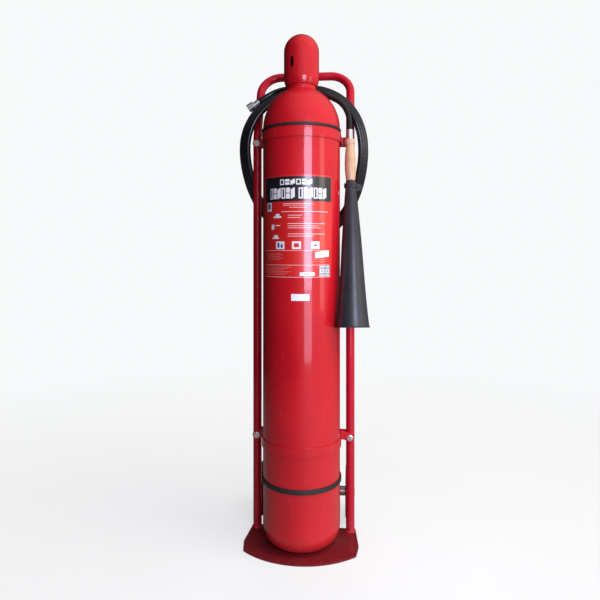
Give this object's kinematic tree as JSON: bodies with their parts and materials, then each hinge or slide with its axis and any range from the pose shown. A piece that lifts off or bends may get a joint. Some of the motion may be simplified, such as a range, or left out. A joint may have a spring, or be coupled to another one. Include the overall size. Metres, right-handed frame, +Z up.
{
  "type": "wheeled fire extinguisher",
  "caption": "Tall red carbon dioxide cylinder on a two-wheeled bent-tube trolley, with a domed valve cap, a looped black hose and a horn with a wooden handle.",
  "frame": {"origin": "on the floor, under the cylinder's axis, in the underside of the toe plate", "axes": "+Z up along the cylinder, +X to the side that carries the horn, -Y to the front with the label"},
  "size_m": [0.3906, 0.364, 1.4425],
  "materials": {
    "cylinder_red": "gloss",
    "frame_red": "gloss",
    "plate_red": "satin",
    "black_rubber": "matte",
    "hose_rubber": "satin",
    "horn_plastic": "satin",
    "clip_plastic": "satin",
    "wheel_plastic": "satin",
    "tyre_rubber": "matte",
    "zinc_steel": "satin",
    "bare_aluminium": "satin",
    "valve_brass": "satin",
    "turned_wood": "satin",
    "label_print": "gloss",
    "sticker_white": "satin",
    "handwheel_green": "satin"
  },
  "bodies": {
    "frame": {"cylinder_shell": "cylinder_red", "neck_ring": "cylinder_red", "upper_rubber_ring": "black_rubber", "lower_rubber_ring": "black_rubber", "front_label": "label_print", "small_sticker": "sticker_white", "valve_body": "valve_brass", "burst_disc_plug": "valve_brass", "dip_tube": "bare_aluminium", "frame_tube": "frame_red", "toe_plate": "plate_red", "upper_clamp_band": "frame_red", "lower_clamp_band": "frame_red", "upper_rear_saddle": "frame_red", "lower_rear_saddle": "frame_red", "clamp_bolts": "zinc_steel", "clamp_washers": "zinc_steel", "clamp_nuts": "zinc_steel", "left_axle_bracket": "frame_red", "right_axle_bracket": "frame_red", "axle": "zinc_steel", "axle_spacers": "zinc_steel", "axle_washers": "zinc_steel", "split_pins": "zinc_steel", "horn": "horn_plastic", "horn_handle": "turned_wood", "horn_pipe": "zinc_steel", "hose_ferrule": "bare_aluminium", "horn_holder": "clip_plastic", "holder_screw": "zinc_steel", "hose_coil": "hose_rubber", "hose_lead": "hose_rubber", "hose_end": "hose_rubber", "coupling_tail": "bare_aluminium", "coupling_washer": "black_rubber"},
    "cap": {"valve_cap": "cylinder_red"},
    "handwheel": {"handwheel": "handwheel_green", "valve_spindle": "zinc_steel", "handwheel_nut": "zinc_steel"},
    "left_wheel": {"left_wheel_rim": "wheel_plastic", "left_tyre": "tyre_rubber", "left_bush": "zinc_steel"},
    "right_wheel": {"right_wheel_rim": "wheel_plastic", "right_tyre": "tyre_rubber", "right_bush": "zinc_steel"},
    "swivel_nut": {"coupling_nut": "bare_aluminium"}
  },
  "joints": [
    {"name": "cap_lift", "type": "slide", "parent": "frame", "child": "cap", "axis": [0, 0, 1], "range_m": [0, 0.16]},
    {"name": "valve_turn", "type": "hinge", "parent": "frame", "child": "handwheel", "pos_m": [0, 0, 1.38], "axis": [0, 0, 1], "range_deg": [0, 720]},
    {"name": "left_wheel_spin", "type": "hinge", "parent": "frame", "child": "left_wheel", "pos_m": [-0.134, 0.157, 0.08], "axis": [1, 0, 0], "continuous": true},
    {"name": "right_wheel_spin", "type": "hinge", "parent": "frame", "child": "right_wheel", "pos_m": [0.134, 0.157, 0.08], "axis": [1, 0, 0], "continuous": true},
    {"name": "nut_swivel", "type": "hinge", "parent": "frame", "child": "swivel_nut", "pos_m": [-0.15953, 0.07563, 1.2614], "axis": [-0.8511, 0.0709, -0.5201], "continuous": true}
  ]
}
